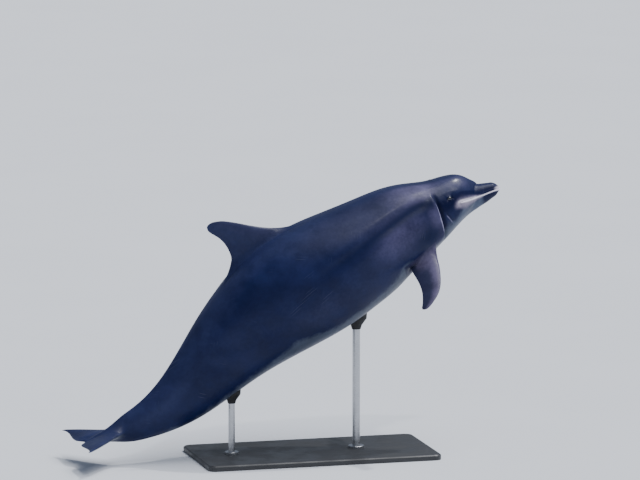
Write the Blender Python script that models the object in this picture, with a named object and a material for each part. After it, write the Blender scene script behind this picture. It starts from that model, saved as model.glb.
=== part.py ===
"""A bottlenose dolphin, life size, in a still leaping pose on a plain display stand.

Frame: metres, +X ahead of the animal, +Y its left, +Z up. The origin is the middle of the stand's
underside, on the floor. The animal is symmetric about Y = 0 and bends only up and down.
"""
import math

import bpy
import numpy as np

for old in list(bpy.data.objects):
    bpy.data.objects.remove(old, do_unlink=True)

# ---- driving sizes ----
BODY_LENGTH = 2.70          # snout tip to fluke notch, along the curve of the body
SNOUT_X = 1.06              # snout tip ahead of the stand's middle
SNOUT_Z = 1.43              # snout tip above the floor
GAP = 0.0003                # clearance between neighbouring solids
COLUMNS = 32                # corners round a body section

# Pitch of the body axis, head end up, in degrees at each fraction of the length.
PITCH = ((0.0, 15), (0.06, 17), (0.13, 21), (0.20, 25), (0.30, 27), (0.42, 30), (0.50, 35),
         (0.58, 41), (0.66, 45), (0.72, 43.5), (0.80, 34), (0.88, 23), (0.94, 16), (1.0, 12))

# Beak and jaws: station, height above the axis, depth below it, half width.
JAWS = ((0.0, .031, .006, .028), (0.005, .037, .016, .032), (0.01, .042, .0265, .036),
        (0.02, .0475, .0375, .041), (0.03, .053, .047, .046), (0.045, .060, .0565, .052),
        (0.07, .066, .0745, .068), (0.09, .066, .090, .090), (0.12, .075, .116, .118),
        (0.16, .090, .135, .125))

# Melon, head, trunk and tail: station, height, depth, half width.
TRUNK = ((0.036, .030, -.06, -.01), (0.045, .071, -.04, .018), (0.055, .100, .000, .050),
         (0.065, .127, .030, .076), (0.08, .152, .062, .102), (0.10, .165, .092, .128),
         (0.12, .171, .121, .145), (0.14, .180, .148, .156), (0.16, .198, .168, .168),
         (0.20, .235, .206, .198), (0.24, .256, .234, .218), (0.28, .268, .269, .233),
         (0.34, .289, .299, .250), (0.40, .313, .316, .258), (0.46, .325, .312, .260),
         (0.52, .316, .291, .246), (0.58, .285, .259, .216), (0.65, .246, .214, .170),
         (0.72, .199, .176, .124), (0.80, .140, .135, .082), (0.87, .092, .094, .050),
         (0.92, .062, .062, .034), (0.96, .030, .030, .030), (1.0, .010, .010, .022))

# How wide the round is that joins the jaws to the melon above, and to the cheek and throat below.
CREASE_ABOVE = 0.010
CREASE_BELOW = 0.044

# Height of the mouth line above the axis, from the snout tip to the corner of the mouth.
MOUTH = ((0.0, .003), (0.02, .007), (0.04, .006), (0.068, .012), (0.09, .023), (0.097, .025))

# Stations where one solid ends and the next begins.
MELON_FRONT = 0.045
MOUTH_CORNER = 0.097
HEAD_REAR = 0.150
NECK_REAR = 0.195
CHEST_REAR = 0.300
TRUNK_REAR = 0.460
RUMP_REAR = 0.620
STOCK_REAR = 0.800
TAIL_TIP = 0.996

# Eyes.
EYE_STATION = 0.115
EYE_HEIGHT = 0.071          # above the body axis
EYE_RADIUS = 0.017
EYE_DEPTH = 0.0125          # centre of the ball below the skin

# Dorsal fin: height above the root line, leading edge, trailing edge, half thickness.
FIN_ROOT_FRONT = (-1.1497, -0.1489)      # ahead and up from the snout tip
FIN_ROOT_REAR = (-1.5337, -0.4176)
FIN = ((-.060, .060, .450, .026), (-.02, .060, .455, .026), (.02, .066, .432, .024),
       (.05, .105, .404, .0215), (.10, .165, .384, .0175), (.15, .214, .380, .0135),
       (.20, .259, .390, .0100), (.24, .298, .407, .0072), (.265, .328, .413, .0052),
       (.280, .354, .408, .0036), (.287, .374, .397, .0022))

# Flippers: distance out from the shoulder, leading edge, trailing edge, half thickness.
FLIPPER_STATION = 0.212
FLIPPER_GIRTH = 142.0       # degrees round from the back
FLIPPER_SPAN = (-.2268, .7083, -.6685)
FLIPPER_CHORD = (-.8912, -.4277, -.1508)
FLIPPER = ((-.070, -.034, .075, .024), (-.02, -.055, .082, .024), (.03, -.0765, .078, .0215),
           (.08, -.0880, .066, .0175), (.13, -.0935, .043, .0140), (.18, -.0960, .0215, .0112),
           (.22, -.0935, .0095, .0092), (.26, -.0840, .0030, .0074), (.30, -.0650, .0015, .0056),
           (.33, -.0470, .0030, .0040), (.348, -.0320, .0035, .0026), (.356, -.0200, .0000, .0015))

# Flukes: distance out from the middle, leading edge, trailing edge, half thickness.
# The edges are measured back from the notch along the tail.
FLUKE = ((.00015, -.250, -.018, .0270), (.015, -.243, .002, .0260), (.035, -.222, .020, .0240),
         (.07, -.183, .033, .0200), (.11, -.145, .037, .0165), (.16, -.104, .035, .0135),
         (.21, -.064, .032, .0108), (.26, -.022, .032, .0080), (.295, .010, .036, .0056),
         (.318, .034, .043, .0032), (.326, .045, .049, .0012))
FLUKE_RISE = 0.05           # how much the tips rise for each metre out

# Stand.
BASE_LENGTH, BASE_WIDTH, BASE_THICK = 1.30, 0.64, 0.030
BASE_EDGE = 0.006
FRONT_ROD_X, FRONT_ROD_RADIUS = 0.25, 0.021
REAR_ROD_X, REAR_ROD_RADIUS = -0.45, 0.018
PAD_RADIUS_RATIO = 2.9
COLLAR_RATIO, COLLAR_HEIGHT = 2.1, 0.014


# ---- shape of the body ----
def curve(knots, x):
    """A smooth curve through named knots: the natural cubic spline, held at its end values."""
    kx = np.array([k[0] for k in knots], float)
    ky = np.array([k[1] for k in knots], float)
    n = len(kx)
    h = np.diff(kx)
    matrix = np.eye(n)
    rhs = np.zeros(n)
    for i in range(1, n - 1):
        matrix[i, i - 1:i + 2] = h[i - 1], 2 * (h[i - 1] + h[i]), h[i]
        rhs[i] = 6 * ((ky[i + 1] - ky[i]) / h[i] - (ky[i] - ky[i - 1]) / h[i - 1])
    m = np.linalg.solve(matrix, rhs)
    x = np.clip(np.asarray(x, float), kx[0], kx[-1])
    i = np.clip(np.searchsorted(kx, x) - 1, 0, n - 2)
    after = x - kx[i]
    before = kx[i + 1] - x
    bend = (m[i] * before ** 3 + m[i + 1] * after ** 3) / (6 * h[i])
    line = (ky[i] / h[i] - m[i] * h[i] / 6) * before + (ky[i + 1] / h[i] - m[i + 1] * h[i] / 6) * after
    return bend + line


def column(table, c, x):
    """One column of a table of stations, at stations x."""
    return curve([(row[0], row[c]) for row in table], x)


AXIS_STEPS = 2000
axis_s = np.linspace(0.0, 1.0, AXIS_STEPS + 1)
axis_pitch = np.radians(curve(PITCH, axis_s))


def run_back(rate):
    """Distance run along the axis when each step goes by rate, from the snout tip back."""
    steps = (rate[1:] + rate[:-1]) / 2 * BODY_LENGTH / AXIS_STEPS
    return np.concatenate([[0.0], np.cumsum(steps)])


axis_x = SNOUT_X - run_back(np.cos(axis_pitch))
axis_z = SNOUT_Z - run_back(np.sin(axis_pitch))


def axis(s):
    """Place (x, z) of the body axis and its forward direction (cos, sin) at stations s."""
    pitch = np.interp(s, axis_s, axis_pitch)
    return np.interp(s, axis_s, axis_x), np.interp(s, axis_s, axis_z), np.cos(pitch), np.sin(pitch)


def rounded(t, height, depth, half, power):
    """Radius at girth angle t of a rounded section, t = 0 at the back."""
    up = np.cos(t)
    reach = np.maximum(np.where(up >= 0, height, depth), 1e-4)
    half = np.maximum(half, 1e-4)
    return (np.abs(np.sin(t) / half) ** power + np.abs(up / reach) ** power) ** (-1 / power)


def ease(x, start, end):
    """0 before start and 1 after end, by 3u^2 - 2u^3 in between."""
    u = np.clip((np.asarray(x, float) - start) / (end - start), 0, 1)
    return u * u * (3 - 2 * u)


def radius(s, t):
    """Distance of the skin from the axis at station s and girth angle t."""
    s = np.asarray(s, float)
    nose = np.sqrt(np.clip(1 - (1 - np.clip(s / 0.016, 0, 1)) ** 2, 0, 1))
    jaws = rounded(t, *(column(JAWS, c, s) for c in (1, 2, 3)), 2.25) * nose
    trunk = rounded(t, *(column(TRUNK, c, s) for c in (1, 2, 3)), 2.15)
    down = ease(np.degrees(np.arccos(np.cos(t))), 50, 95)
    crease = CREASE_ABOVE + (CREASE_BELOW - CREASE_ABOVE) * down
    spread = (jaws - trunk) ** 2 + crease ** 2
    joined = 0.5 * (jaws + trunk + np.sqrt(spread)) - 0.5 * (crease - CREASE_ABOVE) * crease ** 2 / spread
    head = jaws + (joined - jaws) * ease(s, 0.026, 0.042)
    whole = head + (trunk - head) * ease(s, 0.13, 0.17)
    tail = np.sqrt(np.clip(1 - np.clip((s - 0.985) / 0.015, 0, 1) ** 2, 0, 1))
    return whole * tail


def skin(s, t, grow=0.0):
    """Points of the skin, grown outward by grow."""
    x, z, c, sn = axis(s)
    r = radius(s, t) + grow
    return np.stack([x - sn * r * np.cos(t), r * np.sin(t), z + c * r * np.cos(t)], -1)


def girth_angles(s, turns):
    """Girth angles that space the corners evenly round an oval section."""
    half = max(float(radius(s, math.pi / 2)), 1e-5)
    up = max(float(radius(s, 0.0)), 1e-5)
    down = max(float(radius(s, math.pi)), 1e-5)
    reach = np.where(np.cos(turns) >= 0, up, down)
    return np.arctan2(half * np.sin(turns), reach * np.cos(turns))


def whole_ring(s, grow=0.0):
    """A closed section of the body."""
    t = girth_angles(s, np.arange(COLUMNS) * 2 * math.pi / COLUMNS)
    return skin(np.full(COLUMNS, s), t, grow)


def half_ring(s, upper):
    """The part of a section above or below the mouth line, closed straight across the mouth."""
    line = float(curve(MOUTH, s))
    shift = GAP / 2 if upper else -GAP / 2
    low, high = 0.0, math.pi
    for _ in range(40):
        middle = (low + high) / 2
        if float(radius(s, middle)) * math.cos(middle) > line * float(mouth_scale(s)) + shift:
            low = middle
        else:
            high = middle
    count = COLUMNS // 2 + 1
    if upper:
        t = np.linspace(-low, low, count)
    else:
        t = np.linspace(low, 2 * math.pi - low, count)
    return skin(np.full(count, s), t)


def mouth_scale(s):
    """Brings the mouth line down to the axis at the very tip, where the jaws end."""
    return np.sqrt(np.clip(1 - (1 - np.clip(s / 0.016, 0, 1)) ** 2, 0, 1))


def stations(start, end, count):
    """Stations from start to end, closing in on the snout tip if they start there."""
    if start > 0:
        return np.linspace(start, end, count)
    near = 0.016 * (1 - np.cos(np.linspace(0.12, math.pi / 2, 7)))
    return np.concatenate([near[:-1], np.linspace(0.016, end, count)])


# ---- making solids ----
model = bpy.data.collections.new("bottlenose_dolphin")
bpy.context.scene.collection.children.link(model)
cutters = bpy.data.collections.new("cutters")
bpy.context.scene.collection.children.link(cutters)


def finish(name, colour, roughness, metallic=0.0):
    """A plain material of the piece's own."""
    mat = bpy.data.materials.new(name)
    mat.use_nodes = True
    shader = mat.node_tree.nodes["Principled BSDF"]
    shader.inputs["Base Color"].default_value = (*colour, 1.0)
    shader.inputs["Roughness"].default_value = roughness
    shader.inputs["Metallic"].default_value = metallic
    return mat


def loft(name, rings, material=None, hidden=False):
    """A closed solid through equal rings, capped flat at both ends and facing out."""
    rings = np.array(rings)
    rows, corners, _ = rings.shape
    faces = []
    for i in range(rows - 1):
        for j in range(corners):
            a = i * corners + j
            b = i * corners + (j + 1) % corners
            faces.append((a, b, b + corners))
            faces.append((a, b + corners, a + corners))
    faces.append(tuple(reversed(range(corners))))
    faces.append(tuple(range((rows - 1) * corners, rows * corners)))
    verts = rings.reshape(-1, 3)
    first = rings[0]
    normal = sum(np.cross(first[j], first[(j + 1) % corners]) for j in range(corners))
    if np.dot(normal, rings[1].mean(0) - first.mean(0)) < 0:
        faces = [tuple(reversed(f)) for f in faces]
    mesh = bpy.data.meshes.new(name)
    mesh.from_pydata(verts.tolist(), [], faces)
    mesh.validate()
    return place(name, mesh, material, hidden)


def place(name, mesh, material=None, hidden=False):
    """Puts a mesh in the model, or in the cutters' collection if hidden."""
    obj = bpy.data.objects.new(name, mesh)
    if hidden:
        cutters.objects.link(obj)
        obj.hide_render = True
        obj.display_type = "WIRE"
    else:
        model.objects.link(obj)
    if material:
        mesh.materials.append(material)
    return obj


def cut(obj, tool):
    """Takes the hidden tool out of a solid."""
    mod = obj.modifiers.new("cut", "BOOLEAN")
    mod.operation = "DIFFERENCE"
    mod.solver = "EXACT"
    mod.object = tool


dark_skin = (0.030, 0.045, 0.080)
grey_skin = (0.060, 0.075, 0.110)
pale_skin = (0.240, 0.250, 0.310)

# ---- head ----
FRONT = 0.00015 / BODY_LENGTH            # half a gap, as a fraction of the length

loft("beak", [half_ring(s, True) for s in stations(0, MELON_FRONT - FRONT, 7)],
     finish("beak", grey_skin, 0.35))
loft("melon", [half_ring(s, True) for s in stations(MELON_FRONT + FRONT, MOUTH_CORNER - FRONT, 11)],
     finish("melon", grey_skin, 0.35))
loft("lower_jaw", [half_ring(s, False) for s in stations(0, MOUTH_CORNER - FRONT, 12)],
     finish("lower_jaw", pale_skin, 0.35))
head = loft("head", [whole_ring(s) for s in stations(MOUTH_CORNER + FRONT, HEAD_REAR - FRONT, 8)],
            finish("head", grey_skin, 0.35))


def ball(name, centre, size, material=None, hidden=False):
    """A faceted ball with its poles along Y."""
    rings = []
    for a in np.linspace(0.06, math.pi - 0.06, 9):
        turn = np.arange(12) * math.pi / 6
        ring = np.stack([np.sin(a) * np.cos(turn), np.full(12, -np.cos(a)), np.sin(a) * np.sin(turn)], -1)
        rings.append(np.array(centre) + size * ring)
    return loft(name, rings, material, hidden)


eye_angle = math.pi / 2
for _ in range(30):
    eye_angle = math.atan2(math.sin(eye_angle) * float(radius(EYE_STATION, eye_angle)), EYE_HEIGHT)
eye_spot = skin(EYE_STATION, eye_angle)
across = skin(EYE_STATION, eye_angle + 0.02) - skin(EYE_STATION, eye_angle - 0.02)
along = skin(EYE_STATION + 0.002, eye_angle) - skin(EYE_STATION - 0.002, eye_angle)
eye_out = np.cross(across, along)
eye_out = eye_out / np.linalg.norm(eye_out)
if eye_out[1] < 0:
    eye_out = -eye_out
eye_centre = eye_spot - EYE_DEPTH * eye_out
for side, sign in (("left", 1), ("right", -1)):
    centre = eye_centre * (1, sign, 1)
    ball("eye_" + side, centre, EYE_RADIUS, finish("eye_" + side, (0.012, 0.010, 0.010), 0.08))
    cut(head, ball("socket_" + side, centre, EYE_RADIUS + GAP, hidden=True))

# ---- neck, trunk and tail ----
body_rows = []
for name, start, end, count in (
    ("neck", HEAD_REAR, NECK_REAR, 5),
    ("chest", NECK_REAR, CHEST_REAR, 7),
    ("trunk", CHEST_REAR, TRUNK_REAR, 8),
    ("rump", TRUNK_REAR, RUMP_REAR, 9),
    ("tail_stock", RUMP_REAR, STOCK_REAR, 9),
    ("tail_end", STOCK_REAR, TAIL_TIP, 12),
):
    shown_end = end if end == TAIL_TIP else end - FRONT
    rows = stations(start + FRONT, shown_end, count)
    body_rows.extend(rows)
    loft(name, [whole_ring(s) for s in rows], finish(name, dark_skin, 0.30))

# ---- the body as one tool, a gap larger all round, for trimming the fins and the pads ----
notch_x, notch_z, tail_cos, tail_sin = axis(1.0)
notch = (float(notch_x), 0.0, float(notch_z))
tail_back = (-float(tail_cos), 0.0, -float(tail_sin))
tool_rings = [whole_ring(s, GAP) for s in body_rows]
tool_rings.append(tool_rings[-1] + GAP * np.array(tail_back))
body_tool = loft("body_tool", tool_rings, hidden=True)


# ---- fins ----
def blade(origin, out, back, table, corners, lift=None):
    """Rings of a fin: rounded at the leading edge and thin at the trailing edge."""
    out = np.array(out, float)
    back = np.array(back, float)
    side = np.cross(out, back)
    side = side / np.linalg.norm(side)
    turn = np.arange(corners) * 2 * math.pi / corners
    chord = (1 - np.cos(turn)) / 2
    swell = np.sin(turn) * (1 - chord * 0.999) ** 0.35 * 1.2
    rings = []
    for reach, lead, trail, half in table:
        rise = 0.0 if lift is None else lift(reach)
        base = np.array(origin) + out * reach
        ring = base + np.outer(lead + (trail - lead) * chord, back) + np.outer(half * swell + rise, side)
        rings.append(ring)
    return rings


root = np.array(FIN_ROOT_REAR) - np.array(FIN_ROOT_FRONT)
root = root / np.linalg.norm(root)
fin_origin = (SNOUT_X + FIN_ROOT_FRONT[0], 0.0, SNOUT_Z + FIN_ROOT_FRONT[1])
fin_rings = blade(fin_origin, (root[1], 0.0, -root[0]), (root[0], 0.0, root[1]), FIN, 18)
cut(loft("dorsal_fin", fin_rings, finish("dorsal_fin", dark_skin, 0.30)), body_tool)

shoulder = skin(FLIPPER_STATION, math.radians(FLIPPER_GIRTH))
flipper_rings = np.array(blade(shoulder, FLIPPER_SPAN, FLIPPER_CHORD, FLIPPER, 18))
for side, sign in (("left", 1), ("right", -1)):
    flipper = loft("flipper_" + side, flipper_rings * (1, sign, 1), finish("flipper_" + side, grey_skin, 0.30))
    cut(flipper, body_tool)

fluke_rings = np.array(blade(notch, (0.0, 1.0, 0.0), tail_back, FLUKE, 18, lambda out: out * FLUKE_RISE))
for side, sign in (("left", 1), ("right", -1)):
    fluke = loft("fluke_" + side, fluke_rings * (1, sign, 1), finish("fluke_" + side, dark_skin, 0.30))
    cut(fluke, body_tool)

# ---- stand ----
stand_steel = (0.42, 0.42, 0.43)


def plate_ring(inset, z):
    """The base's outline at one height, with its corners rounded off."""
    half_x = BASE_LENGTH / 2 - inset
    half_y = BASE_WIDTH / 2 - inset
    corner = 0.04
    ring = []
    for quarter, (sx, sy) in enumerate(((1, 1), (-1, 1), (-1, -1), (1, -1))):
        for a in np.linspace(0, math.pi / 2, 6):
            turn = a + quarter * math.pi / 2
            x = sx * (half_x - corner) + corner * math.cos(turn)
            y = sy * (half_y - corner) + corner * math.sin(turn)
            ring.append((x, y, z))
    return ring


loft("stand_base",
     [plate_ring(0.0, 0.0), plate_ring(0.0, BASE_THICK - BASE_EDGE), plate_ring(BASE_EDGE, BASE_THICK)],
     finish("stand_base", (0.045, 0.045, 0.048), 0.45))


def disc(x, z, size, corners=22):
    """A level circle."""
    turn = np.arange(corners) * 2 * math.pi / corners
    return np.stack([x + size * np.cos(turn), size * np.sin(turn), np.full(corners, z)], -1)


def belly_height(x):
    """Height of the belly's middle line above the floor at x."""
    s = np.linspace(0.25, 0.9, 2000)
    line = skin(s, np.full(len(s), math.pi))
    order = np.argsort(line[:, 0])
    return float(np.interp(x, line[order, 0], line[order, 2]))


for place_name, rod_x, rod_radius in (("front", FRONT_ROD_X, FRONT_ROD_RADIUS), ("rear", REAR_ROD_X, REAR_ROD_RADIUS)):
    pad_radius = rod_radius * PAD_RADIUS_RATIO
    belly = belly_height(rod_x)
    pad_foot = belly - 0.95 * pad_radius
    rod_foot = BASE_THICK + GAP
    loft("stand_rod_" + place_name, [disc(rod_x, rod_foot, rod_radius), disc(rod_x, pad_foot - GAP, rod_radius)],
         finish("stand_rod_" + place_name, stand_steel, 0.30, 1.0))
    pad = loft("stand_pad_" + place_name,
               [disc(rod_x, pad_foot, rod_radius * 1.15),
                disc(rod_x, pad_foot + 0.35 * pad_radius, rod_radius * 1.45),
                disc(rod_x, pad_foot + 0.95 * pad_radius, pad_radius * 0.93),
                disc(rod_x, belly + 0.9 * pad_radius, pad_radius)],
               finish("stand_pad_" + place_name, (0.03, 0.03, 0.03), 0.70))
    cut(pad, body_tool)
    hole = rod_radius + GAP
    collar = loft("stand_collar_" + place_name,
                  [disc(rod_x, rod_foot, rod_radius * COLLAR_RATIO),
                   disc(rod_x, rod_foot + COLLAR_HEIGHT * 0.8, rod_radius * COLLAR_RATIO),
                   disc(rod_x, rod_foot + COLLAR_HEIGHT, rod_radius * COLLAR_RATIO - 0.003)],
                  finish("stand_collar_" + place_name, stand_steel, 0.30, 1.0))
    cut(collar, loft("collar_bore_" + place_name, [disc(rod_x, 0.0, hole), disc(rod_x, 0.1, hole)], hidden=True))
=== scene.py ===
"""A bottlenose dolphin in a still leap, life size, finished as a wet-skinned museum model on a plain stand.

Run by Blender 4.5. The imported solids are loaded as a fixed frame, and one skin replaces the solids of
flesh. Metres throughout: +X ahead of the animal, +Y its left, +Z up, the floor at z = 0.
"""
import math

import bpy
import numpy as np
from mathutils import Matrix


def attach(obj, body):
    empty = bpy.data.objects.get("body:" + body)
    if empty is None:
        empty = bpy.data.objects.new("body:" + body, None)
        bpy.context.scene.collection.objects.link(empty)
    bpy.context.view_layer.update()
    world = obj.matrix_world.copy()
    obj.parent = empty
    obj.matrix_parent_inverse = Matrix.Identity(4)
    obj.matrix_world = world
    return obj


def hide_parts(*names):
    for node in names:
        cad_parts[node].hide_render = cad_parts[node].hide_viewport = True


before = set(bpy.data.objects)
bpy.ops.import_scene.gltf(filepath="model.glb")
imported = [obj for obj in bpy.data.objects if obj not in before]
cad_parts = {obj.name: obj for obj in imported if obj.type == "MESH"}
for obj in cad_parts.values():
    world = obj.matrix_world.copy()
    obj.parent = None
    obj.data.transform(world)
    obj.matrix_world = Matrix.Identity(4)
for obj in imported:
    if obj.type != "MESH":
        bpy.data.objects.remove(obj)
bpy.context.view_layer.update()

# ==================================================
# Skin, its form. One closed sheet from the snout to the flukes, smooth and hairless, taut over blubber and
# muscle. It is drawn as rings round the bent axis of the body. Each fin grows out of it through a fillet,
# and the eyes, the blowhole and the slits are openings turned into it, so nothing is joined on.

BODY_LENGTH = 2.70
SNOUT = (1.06, 1.43)                     # ahead of the stand's middle, above the floor

# Pitch of the axis in degrees, nose up, at stations from the snout tip (0) to the notch of the tail (1).
PITCH = ((0, 15), (.06, 17), (.13, 21), (.2, 25), (.3, 27), (.42, 30), (.5, 35), (.58, 41), (.66, 45),
         (.72, 43.5), (.8, 34), (.88, 23), (.94, 16), (1, 12))

# Beak and lower jaw, then melon, head and trunk: station, height, depth, half width.
JAWS = ((0, .031, .006, .028), (.005, .037, .016, .032), (.01, .042, .0265, .036),
        (.02, .0475, .0375, .041), (.03, .053, .047, .046), (.045, .06, .0565, .052),
        (.07, .066, .0745, .068), (.09, .066, .09, .09), (.12, .075, .116, .118), (.16, .09, .135, .125))
TRUNK = ((.036, .03, -.06, -.01), (.045, .071, -.04, .018), (.055, .1, 0, .05), (.065, .127, .03, .076),
         (.08, .152, .062, .102), (.1, .165, .092, .128), (.12, .171, .121, .145), (.14, .18, .148, .156),
         (.16, .198, .168, .168), (.2, .235, .206, .198), (.24, .256, .234, .218), (.28, .268, .269, .233),
         (.34, .289, .299, .25), (.4, .313, .316, .258), (.46, .325, .312, .26), (.52, .316, .291, .246),
         (.58, .285, .259, .216), (.65, .246, .214, .17), (.72, .199, .176, .124), (.8, .14, .135, .082),
         (.87, .092, .094, .05), (.92, .062, .062, .034), (.96, .03, .03, .03), (1, .01, .01, .022))
JAWS_POWER, TRUNK_POWER = 2.25, 2.15     # of the ovals: 2 is an ellipse, and more is squarer
CREASE_ABOVE, CREASE_BELOW = 0.010, 0.044       # width of the round that joins jaws to melon, and to throat
CREASE_SIDE = (50, 95)                   # girth angles between which the one width becomes the other
MELON_STARTS, JAWS_END = (0.026, 0.042), (0.13, 0.17)      # stations over which each does so
NOSE_ROUND, TAIL_ROUND = 0.016, 0.015    # share of the length that is rounded off at each end

# Height of the mouth line above the axis, from the snout tip to the corner of the mouth.
MOUTH = ((0, .003), (.02, .007), (.04, .006), (.068, .012), (.09, .023), (.097, .025))
MOUTH_CORNER = 0.098


def curve(knots, x):
    """The natural cubic spline through knots (x, y), held at its end values outside them."""
    kx, ky = np.array(knots, float).T
    h = np.diff(kx)
    matrix = np.eye(len(kx))
    rhs = np.zeros(len(kx))
    for i in range(1, len(kx) - 1):
        matrix[i, i - 1:i + 2] = h[i - 1], 2 * (h[i - 1] + h[i]), h[i]
        rhs[i] = 6 * ((ky[i + 1] - ky[i]) / h[i] - (ky[i] - ky[i - 1]) / h[i - 1])
    m = np.linalg.solve(matrix, rhs)
    x = np.clip(np.asarray(x, float), kx[0], kx[-1])
    i = np.clip(np.searchsorted(kx, x) - 1, 0, len(h) - 1)
    after = x - kx[i]
    before = kx[i + 1] - x
    bend = (m[i] * before ** 3 + m[i + 1] * after ** 3) / (6 * h[i])
    line = (ky[i] / h[i] - m[i] * h[i] / 6) * before + (ky[i + 1] / h[i] - m[i + 1] * h[i] / 6) * after
    return bend + line


def columns(table, x):
    """The curves through the columns of a table, from its second on, at places x in its first."""
    first, *others = zip(*table)
    return [curve(list(zip(first, column)), x) for column in others]


def ease(x, start, end):
    """0 at start and beyond it, 1 at end and beyond it, by 3u^2 - 2u^3 in between. Either may be larger."""
    u = np.clip((np.asarray(x, float) - start) / (end - start), 0, 1)
    return u * u * (3 - 2 * u)


def band(x, start, full, fading, end):
    """1 from full to fading, and 0 outside start and end."""
    return ease(x, start, full) * ease(x, end, fading)


def hump(x, width):
    """A bell, exp(-(x/width)^2)."""
    return np.exp(-(x / width) ** 2)


def below(x, width):
    """1 below zero and 0 above it, by 1 / (1 + exp(x/width))."""
    return 1 / (1 + np.exp(np.clip(x / width, -40, 40)))


axis_s = np.linspace(0.0, 1.0, 4001)
axis_pitch = np.radians(curve(PITCH, axis_s))


def run_back(rate):
    """Distance run from the snout tip when each step along the axis goes by rate: its running sum."""
    return np.concatenate([[0.0], np.cumsum((rate[1:] + rate[:-1]) / 2) * BODY_LENGTH / (len(rate) - 1)])


axis_x = SNOUT[0] - run_back(np.cos(axis_pitch))
axis_z = SNOUT[1] - run_back(np.sin(axis_pitch))


def axis(s):
    """Place (x, z) of the body's axis at stations s, and its forward direction (cos, sin) of the pitch."""
    pitch = np.interp(s, axis_s, axis_pitch)
    return np.interp(s, axis_s, axis_x), np.interp(s, axis_s, axis_z), np.cos(pitch), np.sin(pitch)


def oval(t, height, depth, half, power):
    """Radius at girth angle t of (|y/half|^p + |z/height or depth|^p) = 1, with t = 0 at the back."""
    up = np.cos(t)
    reach = np.maximum(np.where(up >= 0, height, depth), 1e-4)
    return (np.abs(np.sin(t) / np.maximum(half, 1e-4)) ** power + np.abs(up / reach) ** power) ** (-1 / power)


def nose_round(s):
    """Rounds the snout tip by a quarter circle."""
    return np.sqrt(np.clip(1 - (1 - np.clip(s / NOSE_ROUND, 0, 1)) ** 2, 0, 1))


def degrees_down(t):
    """Girth angle from the back, 0 to 180 on either side."""
    return np.degrees(np.arccos(np.clip(np.cos(t), -1, 1)))


def girth_radii(s, t):
    """Radii of the jaws and of the melon with the trunk behind it, before they are joined."""
    jaws = oval(t, *columns(JAWS, s), JAWS_POWER) * nose_round(s)
    trunk = oval(t, *columns(TRUNK, s), TRUNK_POWER)
    return jaws, trunk


def radius(s, t):
    """Distance of the skin from the axis: the larger of jaws and trunk, a and b, joined by a round of
    width k, as (a + b + sqrt((a - b)^2 + k^2)) / 2, less what a wide round would add where they cross."""
    jaws, trunk = girth_radii(s, t)
    crease = CREASE_ABOVE + (CREASE_BELOW - CREASE_ABOVE) * ease(degrees_down(t), *CREASE_SIDE)
    spread = (jaws - trunk) ** 2 + crease ** 2
    joined = 0.5 * (jaws + trunk + np.sqrt(spread)) - 0.5 * (crease - CREASE_ABOVE) * crease ** 2 / spread
    head = jaws + (joined - jaws) * ease(s, *MELON_STARTS)
    whole = head + (trunk - head) * ease(s, *JAWS_END)
    return whole * np.sqrt(np.clip(1 - np.clip((s - 1) / TAIL_ROUND + 1, 0, 1) ** 2, 0, 1))


def smooth_skin(s, t):
    """Points at radius(s, t) from the axis, across it."""
    x, z, c, sn = axis(s)
    r = radius(s, t)
    return np.stack([x - sn * r * np.cos(t), r * np.sin(t), z + c * r * np.cos(t)], -1)


def mouth_height(s):
    """Height of the mouth line above the axis, brought down to it at the very tip."""
    return curve(MOUTH, s) * nose_round(s)


def mouth_rise(s, t):
    """Height of the skin above the mouth line, across the axis."""
    return radius(s, t) * np.cos(t) - mouth_height(s)


# Heights of the skin's relief. A fold or a hollow is negative.
MOUTH_GROOVE, LOWER_LIP, UPPER_LIP, MOUTH_DIMPLE = -0.0048, 0.0030, 0.0016, -0.0032
MELON_CREASE, NECK_STEP, NECK_HOLLOW, SECOND_FOLD = -0.0034, 0.0150, -0.0105, -0.0052
FURROW, MUSCLE_EDGE, EAR, KEEL, TAIL_THINNING = -0.0075, 0.0040, -0.0022, 0.0085, -0.0040


def mouth_relief(s, t):
    """A groove along the mouth, a lower lip that stands out as a ledge under it and fades down the jaw,
    a round upper lip, and a short dimple across the corner."""
    rise = mouth_rise(s, t)
    shut = ease(s, MOUTH_CORNER + 0.003, MOUTH_CORNER - 0.004) * ease(s, 0.0, 0.002)
    ledge = np.exp(np.minimum(rise, 0) / 0.020) * below(rise, 0.0007)
    out = shut * (MOUTH_GROOVE * hump(rise - 0.0004, 0.0016) + LOWER_LIP * ledge
                  + UPPER_LIP * hump(rise - 0.0065, 0.005))
    corner = hump((s - MOUTH_CORNER - 0.0012) * BODY_LENGTH, 0.006) * hump(rise - 0.002, 0.011)
    return out + MOUTH_DIMPLE * corner


def crease_relief(s, t):
    """The crease in front of the melon, deepest on top and gone at the corner of the mouth."""
    jaws, trunk = girth_radii(s, t)
    deg = degrees_down(t)
    on_top = band(s, 0.036, 0.043, 0.074, 0.090) * ease(deg, 84, 62)
    return MELON_CREASE * hump(jaws - trunk + 0.002, 0.0055) * on_top


NECK_FOLD = ((35, .147), (53, .1464), (68, .1462), (79, .1468), (91, .148), (103, .1491), (116, .1506),
             (140, .154))


def past_second_fold(s, deg):
    """Metres behind the short fold under the cheek, which runs forward as it goes down."""
    return (s - 0.1302 + 0.00036 * (deg - 97)) * BODY_LENGTH


def neck_relief(s, t):
    """Two folds where the head bends up from the neck. The main one is a step, the flesh behind it higher
    and the hollow ahead of it soft; a short, shallow one lies ahead of it under the cheek."""
    deg = degrees_down(t)
    behind = (s - curve(NECK_FOLD, deg)) * BODY_LENGTH
    step = np.exp(-np.maximum(behind, 0) / 0.060) * below(-behind, 0.0018)
    hollow = hump(behind + 0.008, 0.011)
    out = band(deg, 38, 60, 124, 150) * (NECK_STEP * step + NECK_HOLLOW * hollow)
    short = hump(past_second_fold(s, deg), 0.0050) * band(deg, 84, 94, 108, 122)
    return out + SECOND_FOLD * short


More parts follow.
